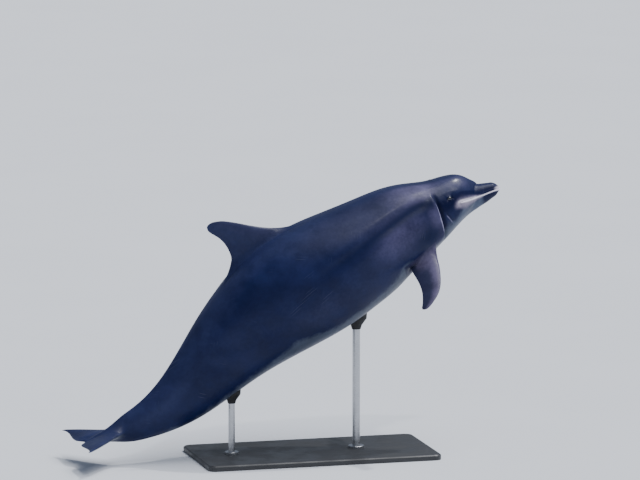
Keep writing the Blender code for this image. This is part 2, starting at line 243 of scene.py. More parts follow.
BACK_MUSCLE_EDGE = ((.14, 54), (.16, 56), (.2, 59), (.237, 63), (.28, 68), (.325, 73), (.38, 76), (.47, 78))

# Swells and hollows of the trunk: height, station, half length in metres, girth angle, half width in degrees.
SWELLS = ((.0085, .27, .13, 83, 13),     # shoulder
          (-.0105, .19, .05, 104, 13),   # hollow over the flipper
          (.006, .235, .06, 128, 12),    # muscle behind the flipper
          (.0032, .103, .03, 50, 5),     # brow
          (.004, .66, .16, 180, 17))     # underside of the tail stock


def trunk_relief(s, t):
    """The swells, the long furrow under the back muscle, the ear's pinhole, the keels of the tail stock,
    and its thin end."""
    deg = degrees_down(t)
    r = radius(s, t)
    under_edge = np.radians(deg - curve(BACK_MUSCLE_EDGE, s)) * r
    out = band(s, 0.145, 0.18, 0.33, 0.47) * (FURROW * hump(under_edge, 0.030)
                                              + MUSCLE_EDGE * hump(under_edge + 0.060, 0.040))
    for height, station, length, girth, width in SWELLS:
        out += height * hump((s - station) * BODY_LENGTH, length) * hump(deg - girth, width)
    out += EAR * hump((s - 0.1315) * BODY_LENGTH, 0.0032) * hump(np.radians(deg - 65) * r, 0.0032)
    out += KEEL * band(s, 0.62, 0.78, 0.90, 0.955) * (hump(deg, 7.5) + hump(180 - deg, 7.5))
    return out + TAIL_THINNING * ease(s, 0.965, 0.995) * np.cos(t) ** 2


def skin(s, t):
    """Points of the finished skin, and its normals before the folds: the smooth form moved by the folds'
    relief along its own outward normal."""
    s, t = np.broadcast_arrays(np.asarray(s, float), np.asarray(t, float))
    ds, dt = 2e-4, 2e-3
    across = smooth_skin(s, t + dt) - smooth_skin(s, t - dt)
    along = smooth_skin(np.minimum(s + ds, 0.9999), t) - smooth_skin(np.maximum(s - ds, 1e-5), t)
    normal = np.cross(across, along)
    normal /= np.maximum(np.linalg.norm(normal, axis=-1, keepdims=True), 1e-12)
    relief = mouth_relief(s, t) + crease_relief(s, t) + neck_relief(s, t) + trunk_relief(s, t)
    return smooth_skin(s, t) + normal * (relief * ease(s, 0.0, 0.004))[..., None], normal


# Rows lie close together where the head's detail is: station, and the distance to the next row there.
ROW_SPACING = ((0, .0005), (.003, .0009), (.01, .0019), (.03, .0026), (.1, .0027), (.155, .0028),
               (.19, .0065), (.26, .0135), (.6, .015), (.84, .013), (.9, .0058), (.97, .005), (1, .002))
COLUMNS = 192
CROWDING = 0.62                          # of the columns towards the sides of the beak

steps = np.linspace(0, 1, 20001)
density = BODY_LENGTH / np.interp(steps, [k[0] for k in ROW_SPACING], [k[1] for k in ROW_SPACING])
rows_before = np.concatenate([[0], np.cumsum((density[1:] + density[:-1]) / 2) / (len(steps) - 1)])
row_s = np.interp(np.linspace(0, rows_before[-1], int(rows_before[-1]) + 2), rows_before, steps)[1:-1]
rows = len(row_s)


def grid_angles(s):
    """Girth angles of the columns at stations s. They crowd at the sides of the beak, where one column on
    each side follows the mouth line, and elsewhere are even round an oval: tan t = half / height tan tau."""
    s = s[:, None]
    turn = np.arange(COLUMNS)[None, :] * 2 * math.pi / COLUMNS
    tau = turn + CROWDING / 2 * ease(s, 0.18, 0.10) * np.sin(2 * turn)
    half = np.maximum(radius(s, math.pi / 2), 1e-5)
    reach = np.where(np.cos(tau) >= 0, radius(s, 0.0), radius(s, math.pi))
    even = np.arctan2(half * np.sin(tau), np.maximum(reach, 1e-5) * np.cos(tau))
    level = np.arccos(np.clip(mouth_height(s) / half, -0.9, 0.9)) - math.pi / 2
    level = level * band(s, 0.0, 0.002, 0.10, 0.16)
    return even + level * np.sin(tau) * np.abs(np.sin(tau))


grid_t = grid_angles(row_s)
grid_s = np.repeat(row_s[:, None], COLUMNS, 1)
grid_p = skin(grid_s, grid_t)[0]

# The mesh gathers here: each point's place, station, girth angle, reach out along a fin (0 on the body, 1
# at a tip), which face of the fin it is on (1 above or outside, 0 below), its share of the fin's chord from
# the front, and then the faces.
places, stations, girths, reaches, uppers, chords, faces = [], [], [], [], [], [], []
open_cells = np.ones((rows - 1, COLUMNS), bool)


def add(p, s, t, reach=0.0, upper=1.0, chord=0.0):
    """Appends points with what is known of each, and returns their numbers."""
    start = sum(len(q) for q in places)
    places.append(p.reshape(-1, 3))
    n = len(places[-1])
    for kept, value in ((stations, s), (girths, t), (reaches, reach), (uppers, upper), (chords, chord)):
        kept.append(np.broadcast_to(np.asarray(value, float), (n,)).copy())
    return start + np.arange(n)


def strip(outer, inner):
    """Faces between two equal closed loops of points, wound as the outer loop runs."""
    faces.append(np.stack([outer, np.roll(outer, -1), np.roll(inner, -1), inner], -1))


grid_i = add(grid_p, grid_s.ravel(), grid_t.ravel()).reshape(rows, COLUMNS)


def row_at(s):
    """Nearest row of the grid to a station."""
    return int(np.argmin(np.abs(row_s - s)))


class Opening:
    """A rectangle of cells taken out of the grid, the loop of points round it, and each one's angle seen
    from its middle: 0 ahead, a quarter turn towards higher girth angles."""

    def __init__(self, s_front, s_rear, middle, side):
        """Rows between two stations, an even number apart, and columns to each side of the middle one."""
        i0, i1 = row_at(s_front), row_at(s_rear)
        i1 += (i1 - i0) % 2
        first, last = middle - side, middle + side
        js = np.arange(first, last + 1)
        open_cells[i0:i1, js[:-1] % COLUMNS] = False
        down = np.arange(i0, i1 + 1)
        i = np.concatenate([np.full(len(js) - 1, i0), down[:-1], np.full(len(js) - 1, i1), down[:0:-1]])
        j = np.concatenate([js[:-1], np.full(len(down) - 1, last), js[:0:-1], np.full(len(down) - 1, first)])
        self.across, self.down = len(js) - 1, len(down) - 1
        self.loop, self.s, self.t, self.p = (
            grid[i, j % COLUMNS] for grid in (grid_i, grid_s, grid_t, grid_p))
        u = 2 * (row_s[i] - row_s[i0]) / (row_s[i1] - row_s[i0]) - 1
        w = 2 * (j - first) / (last - first) - 1
        # square to circle: x = u sqrt(1 - w^2/2), y = w sqrt(1 - u^2/2)
        self.angle = np.arctan2(w * np.sqrt(1 - u * u / 2), -u * np.sqrt(1 - w * w / 2))

    def zip_shut(self, ring, across):
        """Closes the last ring by joining each point to its mirror image, across the body or along it."""
        n = len(ring)
        if across:
            start, total = self.across // 2, self.across
        else:
            start, total = self.across + self.down // 2, 2 * self.across + self.down
        near = (start + np.arange(n // 2)) % n
        after = (near + 1) % n
        a, b, c, d = ring[near], ring[after], ring[(total - after) % n], ring[(total - near) % n]
        faces.append(np.stack([a, b, c, d], -1)[1:-1])
        faces.append(np.array([[a[0], b[0], c[0]], [a[-1], b[-1], d[-1]]]))


def spot(s, t):
    """Nearest column of the grid to a place on the skin."""
    return int(np.argmin(np.abs(np.angle(np.exp(1j * (grid_t[row_at(s)] - t))))))


BEND_WIDTH = 0.024                       # half width at which a ring has its whole bend


def line_opening(opening, s, t, rings, across):
    """Lines an opening with rings round a place: each has half its length ahead and astern, half its width,
    a bend of its sides forward, and a height above the skin. The last ring is zipped shut."""
    last = opening.loop
    per_s = np.linalg.norm(smooth_skin(s + 1e-3, t) - smooth_skin(s, t)) / 1e-3
    for length, width, bend, height in rings:
        side = width * np.sin(opening.angle)
        ring_s = s - (length * np.cos(opening.angle) + bend * (side / BEND_WIDTH) ** 2) / per_s
        ring_t = t + side / float(radius(s, t))
        p, normal = skin(ring_s, ring_t)
        lift = height(length * np.cos(opening.angle), side) if callable(height) else height
        ring = add(p + normal * np.reshape(lift, (-1, 1)), ring_s, ring_t)
        strip(last, ring)
        last = ring
    opening.zip_shut(last, across)


# Eyelids: a rim that follows the ball, almond shaped, swelling out of the cheek round it.
EYE_STATION, EYE_HEIGHT, EYE_RADIUS, EYE_DEPTH = 0.115, 0.071, 0.017, 0.0125
EYE_WINDOW = 0.0095                      # stations cut open before the eye's middle and behind it
side_angles = np.linspace(0.8, 1.4, 601)
eye_heights = radius(EYE_STATION, side_angles) * np.cos(side_angles)
EYE_GIRTH = float(np.interp(-EYE_HEIGHT, -eye_heights, side_angles))


def over_ball(share, gap):
    """Height over the eyeball's dome: share of (sqrt(R^2 - u^2 - v^2) - depth + gap)."""
    def height(u, v):
        dome = np.sqrt(np.maximum(EYE_RADIUS ** 2 - u * u - v * v, 1e-6)) - EYE_DEPTH
        return share * (dome + gap)
    return height


LIDS = ((.0215, .016, 0, over_ball(.1, .005)), (.0185, .0128, 0, over_ball(.36, .003)),
        (.0168, .0108, 0, over_ball(.62, .0024)), (.0154, .0092, 0, over_ball(.85, .0022)),
        (.0143, .008, 0, over_ball(1, .0019)), (.0136, .0072, 0, over_ball(1, .0013)),
        (.0132, .0067, 0, over_ball(1, .0003)), (.013, .0065, 0, over_ball(1, -.002)),
        (.0124, .006, 0, -.006), (.01, .004, 0, -.009))
for sign in (1, -1):
    girth = sign * EYE_GIRTH
    opening = Opening(EYE_STATION - EYE_WINDOW, EYE_STATION + EYE_WINDOW, spot(EYE_STATION, girth), side=7)
    line_opening(opening, EYE_STATION, girth, LIDS, across=False)

# Blowhole: a crescent on top of the head, its horns forward, its lips pressed together.
BLOWHOLE = ((.017, .034, .002, .0002), (.011, .0295, .005, .0008), (.0065, .0262, .0075, .0014),
            (.0032, .0246, .0085, .001), (.0015, .024, .0085, -.0004), (.001, .0236, .0085, -.004),
            (.0008, .0225, .0085, -.009))
BLOWHOLE_STATION = 0.1303
line_opening(Opening(0.1205, 0.1395, middle=0, side=6), BLOWHOLE_STATION, 0.0, BLOWHOLE, across=False)

# Navel, genital slit and vent, along the middle of the belly.
for station, length, half_width in ((0.470, .012, .0035), (0.640, .060, .0020), (0.705, .013, .0022)):
    window = max(length + 0.020, 0.032) / BODY_LENGTH
    slit = ((length + .010, half_width + .010, 0, .0008), (length + .005, half_width + .0055, 0, .0022),
            (length + .002, half_width + .0022, 0, .0020), (length, half_width, 0, -.0008),
            (length * .97, half_width * .6, 0, -.0060))
    opening = Opening(station - window, station + window, COLUMNS // 2, side=4)
    line_opening(opening, station, math.pi, slit, across=True)


# Fins: each is a stack of rounded blades, blunt in front and thin behind, on its own span.
def blade_offset(angle):
    """Share of the chord and of the thickness round a blade: c = (1 - cos a)/2, y = 1.2 sin a (1 - c)^.35."""
    c = (1 - np.cos(angle)) / 2
    return c, 1.2 * np.sin(angle) * (1 - 0.999 * c) ** 0.35


class Fin:
    """A fin's own frame and its edges: out along the span, back along the chord, and across, on the side
    of the given direction. The table gives reach, leading edge, trailing edge and half thickness."""

    def __init__(self, origin, out, back, across, table, rise=0.0):
        self.origin, self.out, self.back = (np.array(v, float) for v in (origin, out, back))
        side = np.cross(self.out, self.back)
        side /= np.linalg.norm(side)
        self.side = side if side @ np.array(across) > 0 else -side
        self.table, self.rise = table, rise

    def ring(self, reach, angle):
        """The blade at one reach: origin + out r + back (lead + (trail - lead) c) + side (half y + rise r)"""
        lead, trail, half = columns(self.table, reach)
        c, y = blade_offset(angle)
        base = self.origin + self.out * reach + self.side * (self.rise * reach)
        return base + np.outer(lead + (trail - lead) * c, self.back) + np.outer(half * y, self.side)


def drop_on_skin(fin, target, s, t):
    """Moves points along a fin's span onto the skin: Newton's steps on skin(s, t) = target + out k."""
    s, t = s.copy(), t.copy()
    for _ in range(6):
        here = smooth_skin(s, t)
        along = (smooth_skin(s + 1e-4, t) - smooth_skin(s - 1e-4, t)) / 2e-4
        across = (smooth_skin(s, t + 1e-3) - smooth_skin(s, t - 1e-3)) / 2e-3
        matrix = np.stack([along, across, -np.broadcast_to(fin.out, here.shape)], -1)
        step = np.linalg.solve(matrix, (target - here)[..., None])[..., 0]
        s = np.clip(s + np.clip(step[:, 0], -0.02, 0.02), 1e-3, 0.9985)
        t = t + np.clip(step[:, 1], -0.3, 0.3)
    return s, t


FILLET_RINGS = 7


def grow_fin(opening, fin, root_edges, first_reach, rings, rear_reach=None):
    """A fin from an opening in the skin. The fillet is a quadratic curve from the opening's edge to the
    fin's first blade, with its middle control on the skin where the fin's root would meet it, or at the
    rear edge, if rear_reach is given, on the fin's own blade there."""
    angle = opening.angle
    tip_reach = fin.table[-1][0]
    lead, trail, half = root_edges
    c, y = blade_offset(angle)
    target = fin.origin + np.outer(lead + (trail - lead) * c, fin.back) + np.outer(half * y, fin.side)
    s, t = drop_on_skin(fin, target, opening.s, opening.t)
    root = skin(s, t)[0]
    first = fin.ring(first_reach, angle)
    if rear_reach:
        root += (fin.ring(rear_reach, angle) - root) * ease(c, 0.80, 0.98)[:, None]
    upper = 0.5 + 0.5 * np.clip(2 * y * np.sign(fin.side[2] or 1), -1, 1)
    last = opening.loop
    for step in np.linspace(0, 1, FILLET_RINGS + 1)[1:]:
        p = (1 - step) ** 2 * opening.p + 2 * step * (1 - step) * root + step ** 2 * first
        ring = add(p, opening.s, opening.t, step * first_reach / tip_reach, 1 - step * (1 - upper), c)
        strip(last, ring)
        last = ring
    for share in np.sin(np.linspace(0, math.pi / 2, rings + 1)[1:]):
        reach = first_reach + (tip_reach - first_reach) * share
        ring = add(fin.ring(reach, angle), opening.s, opening.t, reach / tip_reach, upper, c)
        strip(last, ring)
        last = ring
    opening.zip_shut(last, across=True)


# Dorsal fin, on a root line along the back, ahead and up from the snout tip.
FIN_ROOT_FRONT = (-1.1497, -0.1489)
FIN_ROOT_REAR = (-1.5337, -0.4176)
DORSAL = ((-.06, .06, .45, .026), (-.02, .06, .455, .026), (.02, .066, .432, .024),
          (.05, .105, .404, .0215), (.1, .165, .384, .0175), (.15, .214, .38, .0135), (.2, .259, .39, .01),
          (.24, .298, .407, .0072), (.265, .328, .413, .0052), (.278, .3505, .409, .0038),
          (.283, .36, .4065, .003), (.2865, .37, .401, .0022), (.2885, .38, .3925, .0014))
root_line = np.array(FIN_ROOT_REAR) - np.array(FIN_ROOT_FRONT)
root_line /= np.linalg.norm(root_line)
dorsal = Fin((SNOUT[0] + FIN_ROOT_FRONT[0], 0, SNOUT[1] + FIN_ROOT_FRONT[1]),
             (root_line[1], 0, -root_line[0]), (root_line[0], 0, root_line[1]), (0, 1, 0), DORSAL)
grow_fin(Opening(0.388, 0.582, middle=0, side=5), dorsal, (.045, .462, .024), first_reach=.055, rings=26)

# Flippers, out and down from behind the throat.
SHOULDER_STATION, SHOULDER_GIRTH = 0.212, math.radians(142)
FLIPPER_SPAN, FLIPPER_CHORD = (-.2268, .7083, -.6685), (-.8912, -.4277, -.1508)
FLIPPER = ((-.07, -.034, .075, .024), (-.02, -.055, .082, .024), (.03, -.0765, .078, .0215),
           (.08, -.088, .066, .0175), (.13, -.0935, .043, .014), (.18, -.096, .0215, .0112),
           (.22, -.0935, .0095, .0092), (.26, -.084, .003, .0074), (.3, -.065, .0015, .0056),
           (.33, -.047, .003, .004), (.348, -.032, .0035, .0026), (.353, -.0262, .0018, .0019),
           (.3558, -.02, -.002, .0014), (.357, -.014, -.008, .001))
shoulder = smooth_skin(SHOULDER_STATION, SHOULDER_GIRTH)
down_belly = smooth_skin(SHOULDER_STATION, SHOULDER_GIRTH + 0.05) - shoulder
for sign in (1, -1):
    mirror = np.array((1, sign, 1))
    middle = sign * spot(SHOULDER_STATION, SHOULDER_GIRTH)
    # the side of higher girth angles: down the belly on the left, up from it on the right
    flipper = Fin(shoulder * mirror, FLIPPER_SPAN * mirror, FLIPPER_CHORD * mirror,
                  down_belly * mirror * sign, FLIPPER)
    grow_fin(Opening(0.174, 0.262, middle, side=9), flipper, (-.058, .080, .024), first_reach=.045, rings=30)

# Flukes, measured back from the notch of the tail, out to each side and a little raised at the tips.
FLUKE = ((.00015, -.25, -.018, .027), (.015, -.243, .002, .026), (.035, -.222, .02, .024),
         (.07, -.183, .033, .02), (.11, -.145, .037, .0165), (.16, -.104, .035, .0135),
         (.21, -.064, .032, .0108), (.26, -.022, .032, .008), (.295, .01, .036, .0056),
         (.318, .034, .043, .0032), (.326, .045, .049, .0012))
FLUKE_RISE = 0.05
notch_x, notch_z, tail_cos, tail_sin = (float(v) for v in axis(1.0))
tail_up = np.array((-tail_sin, 0, tail_cos))
for sign in (1, -1):
    fluke = Fin((notch_x, 0, notch_z), (0, sign, 0), (-tail_cos, 0, -tail_sin), tail_up * -sign, FLUKE,
                rise=-sign * FLUKE_RISE)
    grow_fin(Opening(0.905, 0.9965, sign * COLUMNS // 4, side=34), fluke, (-.222, -.020, .0205),
             first_reach=.060, rings=26, rear_reach=.028)

# What is left of the grid, and the poles at its two ends.
cell_i, cell_j = np.nonzero(open_cells)
next_j = (cell_j + 1) % COLUMNS
faces.append(np.stack([grid_i[cell_i, cell_j], grid_i[cell_i, next_j], grid_i[cell_i + 1, next_j],
                       grid_i[cell_i + 1, cell_j]], -1))
for x, z, station, ring in ((*SNOUT, 0.0, grid_i[0, ::-1]), (notch_x, notch_z, 1.0, grid_i[-1])):
    pole = add(np.array([[x, 0, z]]), station, 0.0)
    faces.append(np.stack([np.repeat(pole, COLUMNS), ring, np.roll(ring, -1)], -1))


def put_in_scene(name, data):
    """A new object of the scene."""
    made = bpy.data.objects.new(name, data)
    bpy.context.scene.collection.objects.link(made)
    return made


def smooth_piece(name, points, faces):
    """A new smooth-shaded mesh object."""
    mesh = bpy.data.meshes.new(name)
    mesh.from_pydata(points.tolist(), [], faces)
    mesh.shade_smooth()
    return put_in_scene(name, mesh)


body = smooth_piece("skin", np.concatenate(places), [face for block in faces for face in block.tolist()])
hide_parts("beak", "melon", "lower_jaw", "head", "neck", "chest", "trunk", "rump", "tail_stock",
            "tail_end", "dorsal_fin", "flipper_left", "flipper_right", "fluke_left", "fluke_right")
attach(body, "root")

# ==================================================
# Skin, its colour. Dark slate blue over back and flanks, paler below, with a dark face, pale lips and a
# pale patch at the corner of the mouth. It is wet: a smooth clear film over fine, soft skin.
# Light and shade are also painted into it: a sheen over the head, back and shoulders, shade in the furrow and
# hollows, a highlight along the neck folds, and light on the front of each flipper.

# Colours, in linear red, green and blue.
CAPE = (0.015, 0.021, 0.070)
# Painted sheen: the purple-grey where light falls on the head, upper back and shoulder.
SHOULDER_SHEEN = (0.096, 0.089, 0.182)
HAZE = (0.024, 0.028, 0.072)
FLANK = (0.0055, 0.011, 0.053)
BELLY = (0.060, 0.075, 0.115)
JAW = (0.082, 0.104, 0.162)
# Painted shade for the furrow and the hollows.
HOLLOW_SHADE = (0.003, 0.008, 0.044)
FACE_SHADE = (0.002, 0.005, 0.038)
CHIN = (0.003, 0.007, 0.042)
LIP = (0.84, 0.78, 0.88)
GUM = (0.30, 0.265, 0.35)
# Painted highlight along the crests of the neck folds.
FOLD_CREST_HIGHLIGHT = (0.30, 0.29, 0.44)
# The flipper's dark tone, left as painted shade on its rear half, and painted light on its front and upper
# face.
FLIPPER_REAR = (0.020, 0.023, 0.055)
FLIPPER_LIT_FRONT = (0.082, 0.073, 0.135)
FLUKE_UNDER = (0.055, 0.068, 0.110)
SCUFF = (0.20, 0.22, 0.32)

# Girth angle, in degrees from the back, of the upper edge of the pale belly, and of the cape's lower edge.
BELLY_EDGE = ((0, 98), (.045, 92), (.075, 85), (.09, 88), (.1, 98), (.11, 107), (.13, 111), (.148, 117),
              (.162, 134), (.18, 139), (.225, 138), (.245, 125), (.262, 127), (.28, 132), (.3, 138),
              (.36, 143), (.44, 145), (.47, 142), (.49, 138), (.53, 133), (.57, 135), (.64, 142),
              (.72, 152), (.8, 164), (.88, 178), (.95, 200), (1, 200))
CAPE_EDGE = ((0, 72), (.1, 52), (.2, 58), (.35, 62), (.43, 42), (.5, 26), (.6, 34), (.7, 44), (.8, 70),
             (1, 110))

# The soft pale patch at the corner of the mouth, the brighter skin in its middle, and the dark band from the
# beak's side through the eye: station, girth angle of the middle, half width in degrees.
GAPE = ((.034, 87, 5), (.048, 88, 10), (.058, 87, 13), (.067, 85, 14), (.079, 85, 15), (.089, 85, 16),
        (.095, 83, 13), (.1, 82, 11), (.12, 86, 6))
GAPE_MIDDLE = ((.04, 86, 4), (.058, 83, 4.5), (.067, 82, 5), (.079, 80.5, 5.5), (.089, 78, 5),
               (.096, 77, 4), (.105, 77, 3))
DARK_BAND = ((.006, 66, 8), (.018, 62, 16), (.035, 60, 19), (.05, 61, 15), (.066, 60, 8), (.085, 59, 6),
             (.1, 64, 7), (.115, 69, 9), (.13, 73, 13), (.142, 73, 11), (.152, 73, 3))

# Layers of colour in the order they are laid, each by its marking: name, colour, how far the clouds break it
# up, and the values of the marking at which it starts and is whole.
LAYERS = (("haze", HAZE, .9, 0, 1.1), ("shoulder", SHOULDER_SHEEN, .55, 0, 1.15), ("hollow", HOLLOW_SHADE, .5, 0, 1),
          ("shade", FACE_SHADE, .2, 0, .7), ("crest_highlight", FOLD_CREST_HIGHLIGHT, .6, .05, 1), ("chin", CHIN, .3, 0, .9),
          ("gape", GUM, .6, .02, 1.08), ("core", LIP, .5, .05, 1.05), ("lip", LIP, .1, .1, .9),
          ("flipper_rear", FLIPPER_REAR, .2, 0, .8), ("flipper_lit_front", FLIPPER_LIT_FRONT, .6, 0, 1),
          ("fluke", FLUKE_UNDER, .3, 0, 1))
RAKE_TURNS, RAKE_STRENGTH = ((8, 38, 0), (-20, 78, 30), (35, -12, 64)), 0.17


def patch(table, s, deg):
    """1 in the middle of a patch and 0 outside: a bell across it, of the table's width at each station."""
    within = ease(s, table[0][0], table[1][0]) * ease(s, table[-1][0], table[-2][0])
    middle, half = columns(table, s)
    return within * hump(deg - middle, np.maximum(half, 0.5))


s, t, reach, upper, chord = (np.concatenate(kept) for kept in (stations, girths, reaches, uppers, chords))
deg = degrees_down(t)
across = np.radians(1) * radius(np.clip(s, 1e-4, 0.9999), t)      # metres of skin to a degree of girth
rise = mouth_rise(np.clip(s, 1e-4, 1), t)
lips = ease(s, 0.100, 0.090) * hump(np.minimum(rise + 0.0028, 0), 0.0042) * (rise < 0.0012)
tip_glow = 0.85 * ease(s, 0.023, 0.002) * hump(rise - 0.004, 0.015)
behind_fold = (s - curve(NECK_FOLD, deg)) * BODY_LENGTH
under_edge = (deg - curve(BACK_MUSCLE_EDGE, s)) * across
on_flipper = (s > 0.15) & (s < 0.30) & (reach > 0)
on_dorsal = (s > 0.38) & (s < 0.60)
on_fluke = (s > 0.89) & (reach > 0)
# Where each marking is, 1 in full and 0 elsewhere; the belly and the cape are metres inside their edges. The
# numbers are the stations, girth angles in degrees, reaches or metres at which each begins and ends.
MARKINGS = {
    "belly": (deg - curve(BELLY_EDGE, s)) * across * ease(reach, 0.12, 0.02) - 0.08 * ease(reach, 0, 0.12),
    "cape": (curve(CAPE_EDGE, s) - deg) * across,
    "jaw": ease(s, 0.17, 0.10),
    "chin": ease(s, 0.054, 0.034) * ease(-rise, 0.006, 0.013),
    "shade": np.maximum(patch(DARK_BAND, s, deg), 0.95 * hump(behind_fold + 0.0125, 0.0150)
                        * band(deg, 60, 72, 106, 120)),
    "gape": patch(GAPE, s, deg),
    "core": patch(GAPE_MIDDLE, s, deg),
    # Painted sheen where light falls: over the melon and upper back with the spine left dark, over the swell
    # of the shoulder, and on the flesh just behind the neck fold.
    "shoulder": (1 - 0.85 * ease(deg, 21, 7) * ease(s, 0.06, 0.10)) * np.maximum.reduce([
        (0.30 + 0.56 * ease(s, 0.115, 0.160)) * band(s, 0.050, 0.078, 0.165, 0.28)
        * ease(deg - 10 * ease(s, 0.130, 0.170), 50, 36),
        0.62 * hump(s - 0.237, 0.080) * hump(deg - 79, 34),
        0.72 * band(s, 0.1470, 0.1510, 0.160, 0.190) * hump(deg - 90, 40)]),
    "haze": np.maximum.reduce([
        (0.28 + 0.32 * ease(s, 0.36, 0.46)) * hump(s - 0.31, 0.24) * hump(deg - 112, 20),
        (0.40 + 0.35 * ease(s, 0.11, 0.15)) * band(deg, 8, 26, 50, 70) * ease(s, 0.50, 0.30),
        0.80 * on_dorsal * ease(reach, 0.02, 0.2) * ease(chord, 0.75, 0.15)]),
    # Painted shade in the furrow under the back muscle, in the hollow over the flipper, and in the crease at
    # the rear of the flipper's root.
    "hollow": np.maximum.reduce([
        0.85 * band(s, 0.148, 0.156, 0.36, 0.50) * hump(under_edge - 0.006, 0.034),
        0.90 * hump(s - 0.187, 0.040) * hump(deg - 112, 18),
        0.70 * on_flipper * hump(reach - 0.03, 0.05) * ease(chord, 0.55, 0.80)]),
    # Painted highlight along the crest of the neck fold, and fainter along the short fold under the cheek.
    "crest_highlight": np.maximum(hump(behind_fold - 0.0052, 0.0026 + 0.0024 * ease(deg, 78, 98))
                        * band(deg, 50, 76, 110, 124),
                        0.45 * hump(past_second_fold(s, deg) - 0.0055, 0.0050) * band(deg, 86, 96, 108, 120)),
    "lip": np.maximum(lips, tip_glow),
    # The flipper's dark tone; where the painted light below stops, its rear half reads as painted shade.
    "flipper_rear": on_flipper * ease(reach, 0.01, 0.08),
    # Painted light on the front half and upper face of each flipper.
    "flipper_lit_front": on_flipper * (0.4 + 0.6 * upper) * np.maximum(
        ease(reach, 0.01, 0.06) * ease(chord, 0.62, 0.04),
        0.85 * hump(reach - 0.14, 0.13) * ease(chord, 0.95, 0.70)),
    "fluke": on_fluke * ease(reach, 0.0, 0.2) * (1 - upper),
    "wet": hump(np.hypot((s - 0.087) * BODY_LENGTH, (deg - 25) * across), 0.020),
}


def store(mesh, name, values):
    """One value for each point of a mesh, for materials to read by name."""
    layer = mesh.attributes.new(name, "FLOAT", "POINT")
    layer.data.foreach_set("value", np.asarray(values, np.float32))


for name, values in MARKINGS.items():
    store(body.data, name, values)


def plug(tree, value, socket):
    """Links an output to an input, or sets the input to a plain value."""
    if isinstance(value, bpy.types.NodeSocket):
        tree.links.new(value, socket)
    else:
        socket.default_value = value


def add_node(tree, kind, inputs=None, **settings):
    """One shader node with its settings, and its inputs set to values or linked to sockets."""
    made = tree.nodes.new("ShaderNode" + kind)
    for name, value in settings.items():
        setattr(made, name, value)
    for key, value in (inputs or {}).items():
        plug(tree, value, made.inputs[key])
    return made


def blend(tree, share, first, second, mode="MIX"):
    """A colour between two, each a colour or a socket, by share: the node's colours are at 6, 7 and out 2."""
    mixer = add_node(tree, "Mix", {"Factor": share}, data_type="RGBA", blend_type=mode)
    for key, value in ((6, first), (7, second)):
        plug(tree, (*value, 1.0) if isinstance(value, tuple) else value, mixer.inputs[key])
    return mixer.outputs[2]


def smooth_between(tree, value, low, high, to_low=0.0, to_high=1.0):
    """Value mapped from low..high to 0..1, or to the range given, with soft ends."""
    made = add_node(tree, "MapRange", {"Value": value, "From Min": low, "From Max": high, "To Min": to_low,
                                       "To Max": to_high}, interpolation_type="SMOOTHSTEP")
    return made.outputs["Result"]


def maths(tree, operation, *values):
    """The result of one operation on values or sockets."""
    return add_node(tree, "Math", dict(enumerate(values)), operation=operation).outputs[0]


def noise(tree, where, scale, detail, roughness=0.5):
    """Blender's own noise at a place, 0 to 1."""
    return add_node(tree, "TexNoise", {"Vector": where, "Scale": scale, "Detail": detail,
                                       "Roughness": roughness}).outputs[0]


def mapped(tree, where, **settings):
    """A place turned and scaled."""
    return add_node(tree, "Mapping", {"Vector": where, **settings}).outputs[0]


def about_one(tree, cloud, spread):
    """1 where a cloud has its middle value, and up to half of spread above and below it elsewhere."""
    return maths(tree, "MULTIPLY_ADD", cloud, spread, 1.0 - spread / 2)


def new_group(name, output, **inputs):
    """An empty node group, the sockets that bring its inputs in, and the one that takes its value out."""
    group = bpy.data.node_groups.new(name, "ShaderNodeTree")
    for socket, kind in inputs.items():
        group.interface.new_socket(socket, in_out="INPUT", socket_type="NodeSocket" + kind)
    group.interface.new_socket(output, in_out="OUTPUT", socket_type="NodeSocketFloat")
    return group, group.nodes.new("NodeGroupInput").outputs, group.nodes.new("NodeGroupOutput").inputs[0]


def use_group(tree, group, **inputs):
    """The output of a node group with its inputs set."""
    return add_node(tree, "Group", inputs, node_tree=group).outputs[0]


# Cloudy variation, 0 to 1, with 0.5 its middle.
clouds, given, result = new_group("clouds", "Value", Vector="Vector", Scale="Float", Detail="Float")
cloud = noise(clouds, given["Vector"], given["Scale"], given["Detail"], roughness=0.55)
clouds.links.new(smooth_between(clouds, cloud, 0.28, 0.72), result)


def cloudy(tree, where, scale, detail):
    """Clouds of a size at a place."""
    return use_group(tree, clouds, Vector=where, Scale=scale, Detail=detail)


# Rakes: short runs of a few fine parallel lines, a little wavering, kept only in some places.
rakes, given, result = new_group("rakes", "Mask", Vector="Vector", Turn="Vector", Width="Float")
turned = mapped(rakes, given["Vector"], Rotation=given["Turn"])
waves = add_node(rakes, "TexWave", {"Vector": turned, "Scale": 22.0, "Distortion": 2.6, "Detail": 1.0,
                                    "Detail Scale": 0.30}, bands_direction="Z").outputs["Fac"]
crests = smooth_between(rakes, waves, maths(rakes, "SUBTRACT", 1.0, given["Width"]), 1.0)
spots = noise(rakes, mapped(rakes, turned, Scale=(5.5, 9.0, 13.0)), 1.0, 1.0)
rakes.links.new(maths(rakes, "MULTIPLY", crests, smooth_between(rakes, spots, 0.70, 0.80)), result)

# Fine scratches: the level lines of a noise, kept only in some places.
scratches, given, result = new_group("scratches", "Mask", Vector="Vector", Scale="Float", Width="Float")
lines = noise(scratches, given["Vector"], given["Scale"], 1.0, roughness=0.4)
off_level = maths(scratches, "ABSOLUTE", maths(scratches, "SUBTRACT", lines, 0.5))
thin = maths(scratches, "LESS_THAN", off_level, given["Width"])
kept = smooth_between(scratches, noise(scratches, given["Vector"], 2.1, 2.0), 0.55, 0.68)
scratches.links.new(maths(scratches, "MULTIPLY", thin, kept), result)


